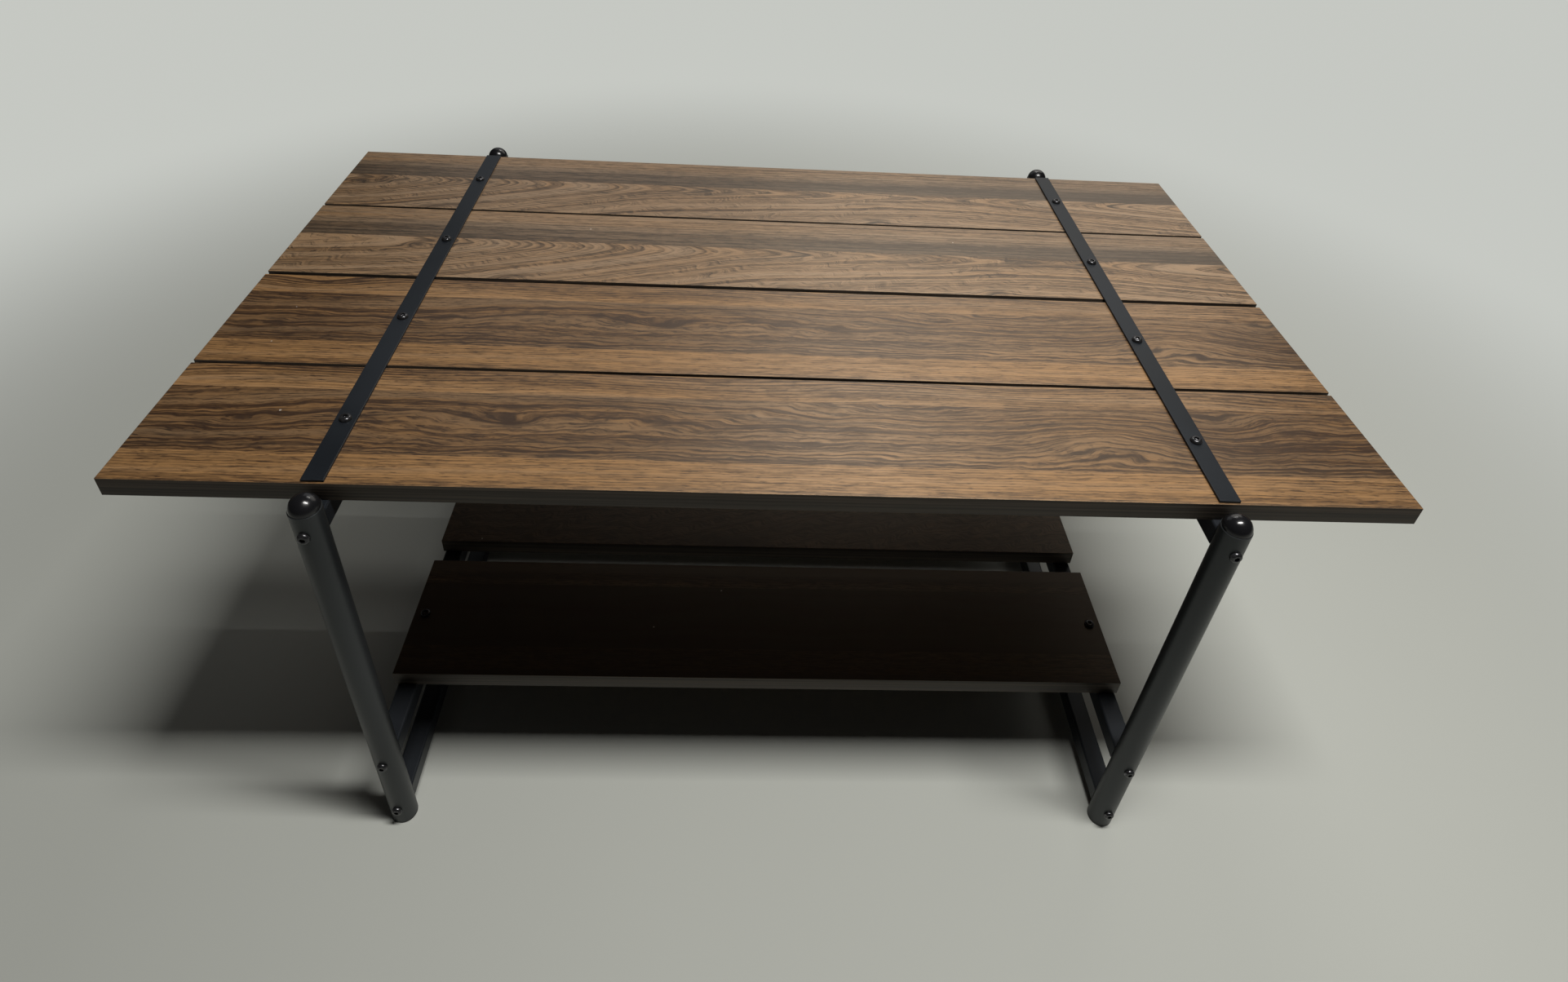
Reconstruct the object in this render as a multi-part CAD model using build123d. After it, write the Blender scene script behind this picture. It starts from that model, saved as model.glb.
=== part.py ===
from build123d import *
import os

# Low table with a plank top and a plank shelf on two bolted side frames.
# Millimetres. +X is to the table's right, +Y to its back, +Z up.
# The origin is on the floor under the middle of the top.

# Boards
TOP_LENGTH = 1067.0  # each top plank, along X
TOP_HEIGHT = 457.0  # floor to the upper face of the top
TOP_PLANK_WIDTH = 147.0
TOP_MIDDLE_GAP = 6.0  # between the second and third planks
TOP_OUTER_GAP = 4.0  # between the first two planks, and between the last two
SHELF_HEIGHT = 134.0  # floor to the upper face of the shelf
SHELF_PLANK_WIDTH = 147.0
SHELF_PLANK_GAP = 29.0
SHELF_OVERHANG = 2.0  # shelf plank's end past the rail it lies on
BOARD_THICKNESS = 18.0
BOARD_EASE = 0.5  # small chamfer on every board edge

# Side frames
TOP_END_OVERHANG = 164.5  # end of the top past the middle plane of a side frame
LEG_DIAMETER = 25.4
LEG_WALL = 1.5
LEG_TOP_DROP = 8.0  # upper face of the top down to the upper end of the leg tube
LEG_TOP_GAP = 5.0  # leg tube to the edge of the top
RAIL_SIDE = 20.0  # square tube
RAIL_WALL = 1.5
RAIL_CORNER = 2.0  # outer corner radius
RAIL_LEAST_BORE_CORNER = 0.2  # inner corner radius of a thick-walled tube
FOOT_RAIL_CLEARANCE = 15.0  # floor to the underside of the lowest rail
SADDLE_CLEARANCE = 0.3  # between a leg tube and the rail end that is cut to it

# Straps across the top
STRAP_WIDTH = 18.0
STRAP_THICKNESS = 2.5
STRAP_SETBACK = 1.5  # strap's end to the edge of the top
STRAP_EASE = 0.4

# Leg caps and foot plugs
CAP_DOME_HEIGHT = 12.0
CAP_REVEAL = 0.6  # ring of tube end left showing around the dome
CAP_RIM_HEIGHT = 1.0  # upright edge below the dome
FOOT_THICKNESS = 2.5
FOOT_EASE = 0.8
STEM_CLEARANCE = 0.2  # between a stem and the inside of the leg tube
STEM_BOLT_GAP = 5.0  # between a stem's inner end and the nearest bolt hole
STEM_TAPER = 0.8  # bevel at a stem's inner end

# Button head bolts
BOLT_DIAMETER = 6.0
BOLT_HEAD_DIAMETER = 10.5
BOLT_HEAD_HEIGHT = 3.3
BOLT_HEAD_EDGE = 0.5  # upright edge below the head's dome
BOLT_HEAD_FLAT = 5.4  # diameter of the flat on top of the head
BOLT_TIP_BEVEL = 0.6
SOCKET_WIDTH = 4.0  # across the flats
SOCKET_DEPTH = 2.2
BOLT_HOLE_CLEARANCE = 0.3  # on the radius, in boards, straps and tubes
THREAD_CLEARANCE = 0.1  # on the radius, in nuts and end blocks
BOLT_PROTRUSION = 2.0  # bolt's end past its nut

# Nuts and threaded end blocks inside the rails
NUT_WIDTH = 10.0  # across the flats
NUT_THICKNESS = 5.0
BLOCK_FIT = 0.1  # between an end block and the inside of its rail
BLOCK_THREAD_ENGAGEMENT = 10.0  # length of bolt inside an end block
BLOCK_BACKING = 3.0  # end block past the bolt's end

# Places worked out from the sizes above
TOP_DEPTH = 4 * TOP_PLANK_WIDTH + 2 * TOP_OUTER_GAP + TOP_MIDDLE_GAP
FRAME_SPREAD = TOP_LENGTH - 2 * TOP_END_OVERHANG  # between the middle planes of the side frames
SHELF_LENGTH = FRAME_SPREAD + RAIL_SIDE + 2 * SHELF_OVERHANG
LEG_HEIGHT = TOP_HEIGHT - LEG_TOP_DROP
LEG_RADIUS = LEG_DIAMETER / 2
LEG_BORE_RADIUS = LEG_RADIUS - LEG_WALL
LEG_X = FRAME_SPREAD / 2
LEG_Y = TOP_DEPTH / 2 + LEG_TOP_GAP + LEG_RADIUS
RAIL_BORE = RAIL_SIDE - 2 * RAIL_WALL
RAIL_BORE_CORNER = max(RAIL_CORNER - RAIL_WALL, RAIL_LEAST_BORE_CORNER)
UPPER_RAIL_Z = TOP_HEIGHT - BOARD_THICKNESS - RAIL_SIDE / 2
SHELF_RAIL_Z = SHELF_HEIGHT - BOARD_THICKNESS - RAIL_SIDE / 2
FOOT_RAIL_Z = FOOT_RAIL_CLEARANCE + RAIL_SIDE / 2
RAIL_HEIGHTS = (UPPER_RAIL_Z, SHELF_RAIL_Z, FOOT_RAIL_Z)
BLOCK_END_Y = LEG_Y - LEG_RADIUS - SADDLE_CLEARANCE
BLOCK_LENGTH = BLOCK_THREAD_ENGAGEMENT + BLOCK_BACKING
BOLT_HOLE_RADIUS = BOLT_DIAMETER / 2 + BOLT_HOLE_CLEARANCE
THREAD_RADIUS = BOLT_DIAMETER / 2 + THREAD_CLEARANCE
STEM_RADIUS = LEG_BORE_RADIUS - STEM_CLEARANCE
CAP_STEM_LENGTH = LEG_HEIGHT - UPPER_RAIL_Z - BOLT_HOLE_RADIUS - STEM_BOLT_GAP
FOOT_STEM_TOP = FOOT_RAIL_Z - BOLT_HOLE_RADIUS - STEM_BOLT_GAP

INNER_PLANK_Y = (TOP_MIDDLE_GAP + TOP_PLANK_WIDTH) / 2
OUTER_PLANK_Y = INNER_PLANK_Y + TOP_PLANK_WIDTH + TOP_OUTER_GAP
TOP_PLANKS_Y = (-OUTER_PLANK_Y, -INNER_PLANK_Y, INNER_PLANK_Y, OUTER_PLANK_Y)
SHELF_PITCH = SHELF_PLANK_WIDTH + SHELF_PLANK_GAP
SHELF_PLANKS_Y = {"front": -SHELF_PITCH, "middle": 0.0, "rear": SHELF_PITCH}

STRAP_BOLT_LENGTH = STRAP_THICKNESS + BOARD_THICKNESS + RAIL_WALL + NUT_THICKNESS + BOLT_PROTRUSION
SHELF_BOLT_LENGTH = BOARD_THICKNESS + RAIL_WALL + NUT_THICKNESS + BOLT_PROTRUSION
LEG_BOLT_LENGTH = LEG_DIAMETER + SADDLE_CLEARANCE + BLOCK_THREAD_ENGAGEMENT

SIDES = {"left": -1, "right": 1}
ENDS = {"front": -1, "rear": 1}


def turned(outline):
    """Solid of revolution about Z from a closed outline in (radius, height)."""
    return revolve(Plane.XZ * make_face(outline), Axis.Z)


def round_hole(radius, length, place):
    """Cylinder to cut away, centred on a place and lying along its Z."""
    return place * Cylinder(radius, length)


def board(length, width, middle_y, upper_z):
    """Flat board with eased edges, and a bolt hole over each side frame."""
    middle = Pos(0, middle_y, upper_z - BOARD_THICKNESS / 2)
    blank = Box(length, width, BOARD_THICKNESS)
    solid = middle * chamfer(blank.edges(), BOARD_EASE)
    for side in SIDES.values():
        place = Pos(side * LEG_X, middle_y, middle.position.Z)
        solid -= round_hole(BOLT_HOLE_RADIUS, 2 * BOARD_THICKNESS, place)
    return solid


def strap(side):
    """Flat bar lying across the planks, with its upper edges eased."""
    length = TOP_DEPTH - 2 * STRAP_SETBACK
    blank = Box(STRAP_WIDTH, length, STRAP_THICKNESS)
    bar = chamfer(blank.faces().sort_by(Axis.Z)[-1].edges(), STRAP_EASE)
    solid = Pos(side * LEG_X, 0, TOP_HEIGHT + STRAP_THICKNESS / 2) * bar
    for y in TOP_PLANKS_Y:
        solid -= round_hole(BOLT_HOLE_RADIUS, 2 * STRAP_THICKNESS, Pos(side * LEG_X, y, TOP_HEIGHT))
    return solid


def rail(side, middle_z, bolt_places_y):
    """Square tube between two legs, its ends cut to the legs, drilled on top for board bolts."""
    outer = RectangleRounded(RAIL_SIDE, RAIL_SIDE, RAIL_CORNER)
    bore = RectangleRounded(RAIL_BORE, RAIL_BORE, RAIL_BORE_CORNER)
    tube = extrude(Plane.XZ * (outer - bore), LEG_Y, both=True)
    solid = Pos(side * LEG_X, 0, middle_z) * tube
    for end in ENDS.values():
        leg_place = Pos(side * LEG_X, end * LEG_Y, middle_z)
        solid -= round_hole(LEG_RADIUS + SADDLE_CLEARANCE, 2 * RAIL_SIDE, leg_place)
    for y in bolt_places_y:
        wall_place = Pos(side * LEG_X, y, middle_z + RAIL_SIDE / 2)
        solid -= round_hole(BOLT_HOLE_RADIUS, 3 * RAIL_WALL, wall_place)
    return solid


def leg(side, end):
    """Round tube standing on its foot plug, drilled through for the rail bolts."""
    length = LEG_HEIGHT - FOOT_THICKNESS
    tube = Cylinder(LEG_RADIUS, length) - Cylinder(LEG_BORE_RADIUS, length)
    solid = Pos(side * LEG_X, end * LEG_Y, FOOT_THICKNESS + length / 2) * tube
    for z in RAIL_HEIGHTS:
        place = Pos(side * LEG_X, end * LEG_Y, z) * Rot(90, 0, 0)
        solid -= round_hole(BOLT_HOLE_RADIUS, 2 * LEG_DIAMETER, place)
    return solid


def leg_cap(side, end):
    """Domed cap with a stem that goes down inside the leg tube."""
    rim = LEG_RADIUS - CAP_REVEAL
    dome = TangentArc((0, CAP_DOME_HEIGHT), (rim, CAP_RIM_HEIGHT), tangent=(1, 0))
    below = Polyline(
        dome @ 0,
        (0, -CAP_STEM_LENGTH),
        (STEM_RADIUS - STEM_TAPER, -CAP_STEM_LENGTH),
        (STEM_RADIUS, STEM_TAPER - CAP_STEM_LENGTH),
        (STEM_RADIUS, 0),
        (rim, 0),
        dome @ 1,
    )
    return Pos(side * LEG_X, end * LEG_Y, LEG_HEIGHT) * turned(dome + below)


def foot_plug(side, end):
    """Flat foot under the leg tube, with a stem that goes up inside it."""
    outline = Polyline(
        (0, 0),
        (LEG_RADIUS - FOOT_EASE, 0),
        (LEG_RADIUS, FOOT_EASE),
        (LEG_RADIUS, FOOT_THICKNESS),
        (STEM_RADIUS, FOOT_THICKNESS),
        (STEM_RADIUS, FOOT_STEM_TOP - STEM_TAPER),
        (STEM_RADIUS - STEM_TAPER, FOOT_STEM_TOP),
        (0, FOOT_STEM_TOP),
        close=True,
    )
    return Pos(side * LEG_X, end * LEG_Y, 0) * turned(outline)


def button_bolt(length):
    """Button head bolt, its head above Z 0 and its shank below."""
    head_radius = BOLT_HEAD_DIAMETER / 2
    flat_radius = BOLT_HEAD_FLAT / 2
    shank = BOLT_DIAMETER / 2
    rise = BOLT_HEAD_HEIGHT - BOLT_HEAD_EDGE
    run = head_radius - flat_radius
    dome = EllipticalCenterArc((flat_radius, BOLT_HEAD_EDGE), run, rise, start_angle=0, arc_size=90)
    outline = Polyline(
        dome @ 1,
        (0, BOLT_HEAD_HEIGHT),
        (0, -length),
        (shank - BOLT_TIP_BEVEL, -length),
        (shank, BOLT_TIP_BEVEL - length),
        (shank, 0),
        (head_radius, 0),
        dome @ 0,
    )
    solid = turned(dome + outline)
    socket = RegularPolygon(SOCKET_WIDTH / 2, 6, major_radius=False)
    return solid - Pos(0, 0, BOLT_HEAD_HEIGHT) * extrude(socket, -SOCKET_DEPTH)


def strap_bolts(side):
    """Bolts through a strap and each plank into the upper rail."""
    bolt = button_bolt(STRAP_BOLT_LENGTH)
    head_z = TOP_HEIGHT + STRAP_THICKNESS
    return [Pos(side * LEG_X, y, head_z) * bolt for y in TOP_PLANKS_Y]


def shelf_bolts(side):
    """Bolts through each shelf plank into the shelf rail."""
    bolt = button_bolt(SHELF_BOLT_LENGTH)
    return [Pos(side * LEG_X, y, SHELF_HEIGHT) * bolt for y in SHELF_PLANKS_Y.values()]


def leg_bolts(side, end):
    """Bolts through one leg into the end blocks of its rails."""
    bolt = button_bolt(LEG_BOLT_LENGTH)
    face_y = end * (LEG_Y + LEG_RADIUS)
    turn = Rot(-90 * end, 0, 0)
    return [Pos(side * LEG_X, face_y, z) * turn * bolt for z in RAIL_HEIGHTS]


def rail_nuts(side, rail_z, places_y):
    """Hexagon nuts welded inside a rail, against its upper wall."""
    nut = extrude(RegularPolygon(NUT_WIDTH / 2, 6, major_radius=False), -NUT_THICKNESS)
    nut -= Cylinder(THREAD_RADIUS, 3 * NUT_THICKNESS)
    wall_z = rail_z + RAIL_SIDE / 2 - RAIL_WALL
    return [Pos(side * LEG_X, y, wall_z) * nut for y in places_y]


def end_blocks(side):
    """Threaded blocks fixed in both ends of each rail of one side frame."""
    width = RAIL_BORE - 2 * BLOCK_FIT
    blank = Box(width, BLOCK_LENGTH, width)
    block = chamfer(blank.edges().filter_by(Axis.Y), RAIL_BORE_CORNER)
    block -= round_hole(THREAD_RADIUS, 2 * BLOCK_LENGTH, Rot(90, 0, 0))
    middle_y = BLOCK_END_Y - BLOCK_LENGTH / 2
    return [
        Pos(side * LEG_X, end * middle_y, z) * block
        for z in RAIL_HEIGHTS
        for end in ENDS.values()
    ]


def write(name, *solids):
    """One STEP file for one named sub-part."""
    shape = solids[0] if len(solids) == 1 else Compound(children=list(solids))
    export_step(shape, f"parts/{name}.step")


os.makedirs("parts", exist_ok=True)

for number, plank_y in enumerate(TOP_PLANKS_Y, start=1):
    write(f"top_plank_{number}", board(TOP_LENGTH, TOP_PLANK_WIDTH, plank_y, TOP_HEIGHT))

for place, plank_y in SHELF_PLANKS_Y.items():
    write(f"shelf_plank_{place}", board(SHELF_LENGTH, SHELF_PLANK_WIDTH, plank_y, SHELF_HEIGHT))

for hand, side in SIDES.items():
    write(f"{hand}_strap", strap(side))
    write(f"{hand}_strap_bolts", *strap_bolts(side))
    write(f"{hand}_upper_rail", rail(side, UPPER_RAIL_Z, TOP_PLANKS_Y))
    write(f"{hand}_upper_rail_nuts", *rail_nuts(side, UPPER_RAIL_Z, TOP_PLANKS_Y))
    write(f"{hand}_shelf_rail", rail(side, SHELF_RAIL_Z, SHELF_PLANKS_Y.values()))
    write(f"{hand}_shelf_rail_nuts", *rail_nuts(side, SHELF_RAIL_Z, SHELF_PLANKS_Y.values()))
    write(f"{hand}_shelf_bolts", *shelf_bolts(side))
    write(f"{hand}_foot_rail", rail(side, FOOT_RAIL_Z, ()))
    write(f"{hand}_rail_end_blocks", *end_blocks(side))
    for end_name, end in ENDS.items():
        write(f"{end_name}_{hand}_leg", leg(side, end))
        write(f"{end_name}_{hand}_leg_cap", leg_cap(side, end))
        write(f"{end_name}_{hand}_foot_plug", foot_plug(side, end))
        write(f"{end_name}_{hand}_leg_bolts", *leg_bolts(side, end))
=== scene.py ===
import math
from math import pi

import bpy
import numpy as np
from bpy.types import NodeSocket, Operator, Panel, PropertyGroup
from mathutils import Euler, Matrix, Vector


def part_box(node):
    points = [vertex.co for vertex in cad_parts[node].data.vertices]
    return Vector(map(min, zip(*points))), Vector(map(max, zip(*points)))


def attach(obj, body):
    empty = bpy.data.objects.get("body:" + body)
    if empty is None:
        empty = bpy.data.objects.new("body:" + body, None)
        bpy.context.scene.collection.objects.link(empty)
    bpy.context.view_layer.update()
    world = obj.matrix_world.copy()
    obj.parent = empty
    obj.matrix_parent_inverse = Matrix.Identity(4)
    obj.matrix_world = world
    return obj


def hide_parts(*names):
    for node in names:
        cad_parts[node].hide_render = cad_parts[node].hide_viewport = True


bl_info = {
    "name": "Plank Coffee Table",
    "version": (1, 0, 0),
    "blender": (4, 5, 0),
    "location": "3D View > Sidebar > Table",
    "description": "Boards, side frames, caps and bolts of a low table with a plank top",
    "category": "Add Mesh",
}

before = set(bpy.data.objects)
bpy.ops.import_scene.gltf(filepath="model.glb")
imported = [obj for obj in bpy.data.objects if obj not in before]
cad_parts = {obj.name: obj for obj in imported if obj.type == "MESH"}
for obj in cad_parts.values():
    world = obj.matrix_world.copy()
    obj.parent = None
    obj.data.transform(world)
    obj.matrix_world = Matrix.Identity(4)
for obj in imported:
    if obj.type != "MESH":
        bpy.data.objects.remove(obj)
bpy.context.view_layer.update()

SIDES = ("left", "right")
ENDS = ("front", "rear")
TOP_PLANKS = ("top_plank_1", "top_plank_2", "top_plank_3", "top_plank_4")
SHELF_PLANKS = ("shelf_plank_front", "shelf_plank_middle", "shelf_plank_rear")
RAILS = ("upper_rail", "shelf_rail", "foot_rail")
HIDDEN_FIXINGS = ("upper_rail_nuts", "shelf_rail_nuts", "rail_end_blocks")

MM = 0.001
ROUND_STEPS = 72  # facets around a turned piece, a multiple of six for the sockets
ROUND = np.arange(ROUND_STEPS) * (2 * pi / ROUND_STEPS)  # directions of their corners
CORNER_STEPS, TUBE_STEPS = 4, 6  # facets of an eased edge and of a square tube's corner
HEAD_STEPS = 10  # facets from a bolt head's flat to its rim
SUPPORT = 0.3 * MM  # strip beside an eased edge that keeps the flat face flat
SEAM_ROOM, SEAM_HALF = 0.2 * MM, 0.04 * MM  # space kept clear round a seam, and half its width
WELD = 1e-7  # points nearer share a place
SMOOTH_ANGLE = math.radians(32)  # edges that turn further stay sharp
LEVEL = 0.8  # share of Z in its normal from which a face looks up or down


# --- surfaces


def centre(node):
    """Middle point of a node's box."""
    low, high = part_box(node)
    return (np.array(low) + np.array(high)) / 2


def radius(box):
    """Radius of an upright round piece with that box."""
    return (box[1][0] - box[0][0]) / 2


def sheet_faces(rows, columns, wrap_rows=False):
    """Quads between neighbours on a grid of points whose last column is joined to its first, and its last
    row too when the rows wrap."""
    index = np.arange(rows * columns).reshape(rows, columns)
    if wrap_rows:
        index = np.vstack([index, index[:1]])
    index = np.hstack([index, index[:, :1]])
    corners = (index[:-1, :-1], index[1:, :-1], index[1:, 1:], index[:-1, 1:])
    return np.stack([c.ravel() for c in corners], 1)


def weld(points, quads):
    """Merges points that share a place. Returns the numbers of the points kept, the quads, and the
    triangles left of quads that lost a side."""
    grid = np.round(points / WELD).astype(np.int64)
    _, first, back = np.unique(grid, axis=0, return_index=True, return_inverse=True)
    quads = back.ravel()[quads]
    same = quads == np.roll(quads, -1, 1)
    lost = same.sum(1) == 1
    return first, quads[same.sum(1) == 0], quads[lost][~same[lost]].reshape(-1, 3)


def outward(points, quads, triangles):
    """Faces turned round if they make the closed surface's volume negative."""
    both = np.vstack([quads[:, [0, 1, 2]], quads[:, [0, 2, 3]], triangles])
    a, b, c = (points[both[:, i]] for i in range(3))
    if np.einsum("ij,ij->i", a, np.cross(b, c)).sum() < 0:
        return quads[:, ::-1], triangles[:, ::-1]
    return quads, triangles


def placed(data):
    """New object in the scene, named as its data."""
    made = bpy.data.objects.new(data.name, data)
    bpy.context.scene.collection.objects.link(made)
    return made


def publish(kind, node, finishes, shapes, fields=None):
    """Finished object for a CAD node, from closed shapes that are pairs of points and quads. A second finish
    is for the faces that don't look up or down. Fields are values at the points of a piece with one shape."""
    places, quads, triangles, offset = [], [], [], 0
    for points, sides in shapes:
        first, whole, narrow = weld(points, sides)
        place = points[first]
        whole, narrow = outward(place - place.mean(0), whole, narrow)
        places.append(place)
        quads.append(whole + offset)
        triangles.append(narrow + offset)
        offset += len(place)
    mesh = bpy.data.meshes.new(f"{kind}_{node}")
    faces = np.vstack(quads).tolist() + np.vstack(triangles).tolist()
    mesh.from_pydata(np.vstack(places).tolist(), [], faces)
    for finish in finishes:
        mesh.materials.append(finish)
    mesh.polygons.foreach_set("use_smooth", [True] * len(faces))
    mesh.set_sharp_from_angle(angle=SMOOTH_ANGLE)
    if len(finishes) > 1:
        normals = np.zeros(len(faces) * 3, np.float32)
        mesh.polygons.foreach_get("normal", normals)
        mesh.polygons.foreach_set("material_index", (abs(normals[2::3]) < LEVEL).astype(np.int32))
    for key, values in (fields or {}).items():
        holds, member = ("FLOAT", "value") if values.ndim == 1 else ("FLOAT_COLOR", "color")
        held = mesh.attributes.new(key, holds, "POINT").data
        held.foreach_set(member, values[first].astype(np.float32).ravel())
    mesh.update()
    piece = placed(mesh)
    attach(piece, "root")
    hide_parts(node)


def spaced(low, high, cell):
    """Evenly spaced values from low to high, about a cell apart, with one more close beside each end."""
    count = max(2, int(math.ceil((high - low) / cell)) + 1)
    return np.hstack([low, np.linspace(low + SUPPORT, high - SUPPORT, count), high])


def eased_block(low, high, ease, cell_x, cell_y, seams=()):
    """Rectangular block with rounded edges: the points of a smaller block, moved out by the edge radius
    in directions of its cross section that tilt over towards its ends. At each seam across the width two
    rows lie close together, so that a field can change at once. Returns points, quads and how far each
    point is into an eased edge (0 on a flat, 1 at its middle)."""
    a, b = np.array(low) + ease, np.array(high) - ease
    across = spaced(a[1], b[1], cell_y)[1:-1]
    for seam in seams:
        across = np.hstack([across[abs(across - seam) > SEAM_ROOM], seam - SEAM_HALF, seam + SEAM_HALF])
    across = np.sort(across)
    turn = np.linspace(0, pi / 2, CORNER_STEPS + 1)
    up, front, back = 0 * across + pi / 2, 0 * turn + a[1], 0 * turn + b[1]
    direction = np.hstack([pi - turn, up, pi / 2 - turn, -turn, -up, -pi / 2 - turn])
    inner_y = np.hstack([front, across, back, back, across[::-1], front])
    half = len(direction) // 2
    inner_z = np.repeat([b[2], a[2]], half)
    along = spaced(a[0], b[0], cell_x)
    inner_x = np.hstack([0 * turn[1:] + a[0], along, 0 * turn[1:] + b[0]])
    tilt = np.hstack([-turn[:0:-1], 0 * along, turn[1:]])
    sin, cos = np.sin(tilt)[:, None], np.cos(tilt)[:, None]
    x = inner_x[:, None] + ease * sin + 0 * direction
    y = inner_y + ease * cos * np.cos(direction)
    z = inner_z + ease * cos * np.sin(direction)
    top_row = np.arange(half - 1)
    bottom_row = 2 * half - 1 - top_row
    cap = np.stack([top_row, bottom_row, bottom_row - 1, top_row + 1], 1)
    last = (len(inner_x) - 1) * len(direction)
    quads = np.vstack([sheet_faces(len(inner_x), len(direction)), cap[:, ::-1], cap + last])
    arris = np.maximum(abs(np.sin(2 * direction)) * cos, abs(np.sin(2 * tilt))[:, None])
    return np.stack([x, y, z], 2).reshape(-1, 3), quads, arris.ravel()


def lathe(rings, place, lying=0):
    """Surface of revolution about an upright axis through a place, or about one along Y that points to the
    front (lying -1) or to the back (1). Each ring is a radius, or one for each direction, and a height.
    Rings that start off the axis close on themselves, last to first."""
    reach = np.stack([ring + 0 * ROUND for ring, _ in rings])
    height = np.array([rise for _, rise in rings])[:, None] + 0 * ROUND
    p, q = reach * np.cos(ROUND), reach * np.sin(ROUND)
    axes = (p, lying * height, q) if lying else (p, q, height)
    points = np.stack(axes, 2).reshape(-1, 3) + np.array(place)
    return points, sheet_faces(len(rings), ROUND_STEPS, wrap_rows=reach[0, 0] > 0)


def arc(middle, radii, start, stop, steps):
    """Points on an ellipse about a middle, from one angle to another in degrees."""
    angle = np.radians(np.linspace(start, stop, steps + 1))
    return np.stack([middle[0] + radii[0] * np.cos(angle), middle[1] + radii[1] * np.sin(angle)], 1)


def hexagon(width, angle):
    """Distance from the middle of a hexagon, that width across its flats, to its rim in a direction."""
    return width / 2 / np.cos((angle + pi / 6) % (pi / 3) - pi / 6)


def button_bolt(place, length, lying, turn, settings):
    """Button head bolt with a hexagon socket and a bevelled end. The head is an elliptic arc from its flat
    top to its upright rim, and the socket's rings follow a hexagon."""
    head, flat, shank = settings.head_width / 2, settings.head_flat / 2, settings.shank_width / 2
    rise, floor = settings.head_height, settings.head_height - settings.socket_depth
    rim, drill_point, bevel, small = 0.5 * MM, 0.5 * MM, 0.6 * MM, 0.15 * MM
    hexed = hexagon(settings.socket_width, ROUND + turn)
    rings = [(0, floor - drill_point), (0.92 * hexed, floor), (hexed, floor + small)]
    rings += [(hexed + out * MM, rise - down * MM) for out, down in ((0, 0.22), (0.14, 0.04), (0.3, 0))]
    rings += [*arc((flat, rim), (head - flat, rise - rim), 90, 0, HEAD_STEPS)[1:]]
    rings += [(head, rim / 2), (head - small, 0), (shank, 0)]
    rings += [(shank, bevel - length), (shank - bevel, -length), (0, -length)]
    return lathe(rings, place, lying)


def rounded_square(side, corner):
    """Outline of a square with rounded corners, with a point close before and after each corner's arc, as
    offsets from its middle."""
    reach = side / 2 - corner
    pieces = []
    for start, sx, sz in ((0, 1, 1), (90, -1, 1), (180, -1, -1), (270, 1, -1)):
        turn = arc((sx * reach, sz * reach), (corner, corner), start, start + 90, TUBE_STEPS)
        cos, sin = math.cos(math.radians(start)), math.sin(math.radians(start))
        pieces += [turn[:1] + SUPPORT * np.array([sin, -cos]), turn]
        pieces += [turn[-1:] - SUPPORT * np.array([cos, sin])]
    return np.vstack(pieces)


def square_tube(node, leg, settings):
    """Square tube along Y between two round legs. At each end every point of its outline stops on a
    cylinder about the leg's middle line, so that the tube fits against the leg."""
    side = 2 * radius(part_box(node))
    outer = rounded_square(side, settings.rail_corner)
    wall = settings.rail_wall
    inner = rounded_square(side - 2 * wall, max(settings.rail_corner - wall, SUPPORT))
    reach = radius(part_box(leg)) + settings.saddle_gap
    x, _, z = centre(node)
    rings = []
    for outline, ends in ((outer, (-1, 1)), (inner, (1, -1))):
        stop = centre(leg)[1] - np.sqrt(reach**2 - outline[:, 0] ** 2)
        rings += [np.stack([x + outline[:, 0], end * stop, z + outline[:, 1]], 1) for end in ends]
    return np.vstack(rings), sheet_faces(len(rings), len(outer), wrap_rows=True)


# --- wood figure


def ripple(s, v, seed, long, wide):
    """Smooth irregular waves: seven sines with seeded directions and phases, of about one wavelength along
    the board and another across it. The sum seldom passes 1.5 either way."""
    draw, count, total = np.random.default_rng(seed), 7, 0 * s
    for _ in range(count):
        k, m = draw.uniform(0.4, 1.6), draw.uniform(-1.3, 1.3)
        total = total + np.sin(2 * pi * (k * s / long + m * v / wide) + draw.uniform(0, 2 * pi))
    return total / math.sqrt(count)


def ripples(s, v, waves):
    """Sum of ripples, each given as its height, its seed, and its wavelengths along and across."""
    return sum(height * ripple(s, v, *rest) for height, *rest in waves)


def bell(value, middle, reach):
    """Bell curve: 1 at its middle and 1/e at its reach on either side."""
    return np.exp(-(((value - middle) / reach) ** 2))


def patches(s, v, spots):
    """Sum of bell-shaped spots, each its place along and across, its length and width, and its height."""
    return sum(lift * bell(s, at_s, long) * bell(v, at_v, wide) for at_s, at_v, long, wide, lift in spots)


def slope(s, at, width):
    """Smooth ramp: zero before a place and rising one for one after it, rounded over a width."""
    return width * np.logaddexp(0, (s - at) / width)


def ramp_up(value, low, high):
    """Smooth step from 0 at low to 1 at high."""
    share = np.clip((value - low) / (high - low), 0, 1)
    return share * share * (3 - 2 * share)


# Two printed sheets, in millimetres: s runs along the board, and v across it from its front edge. Waves are
# what ripples takes, and rises, knots, tones and swirls what patches takes.

WAVY_JOINTS = (34.3, 115.0)  # between the golden, the dark and the streaked stave
GOLD_SPACING, DARK_SPACING, STREAK_SPACING = 3.1, 4.6, 3.8  # between growth lines
GOLD_WAVES = ((0.30, 3, 620, 90), (0.08, 4, 50, 26))
DARK_WAVES = ((0.40, 11, 300, 90), (0.24, 12, 90, 30), (0.12, 13, 38, 18))
STREAK_WAVES, STREAK_SWIRL = ((0.7, 5, 420, 70),), ((-470, 132, 46, 16, 2.2),)
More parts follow.
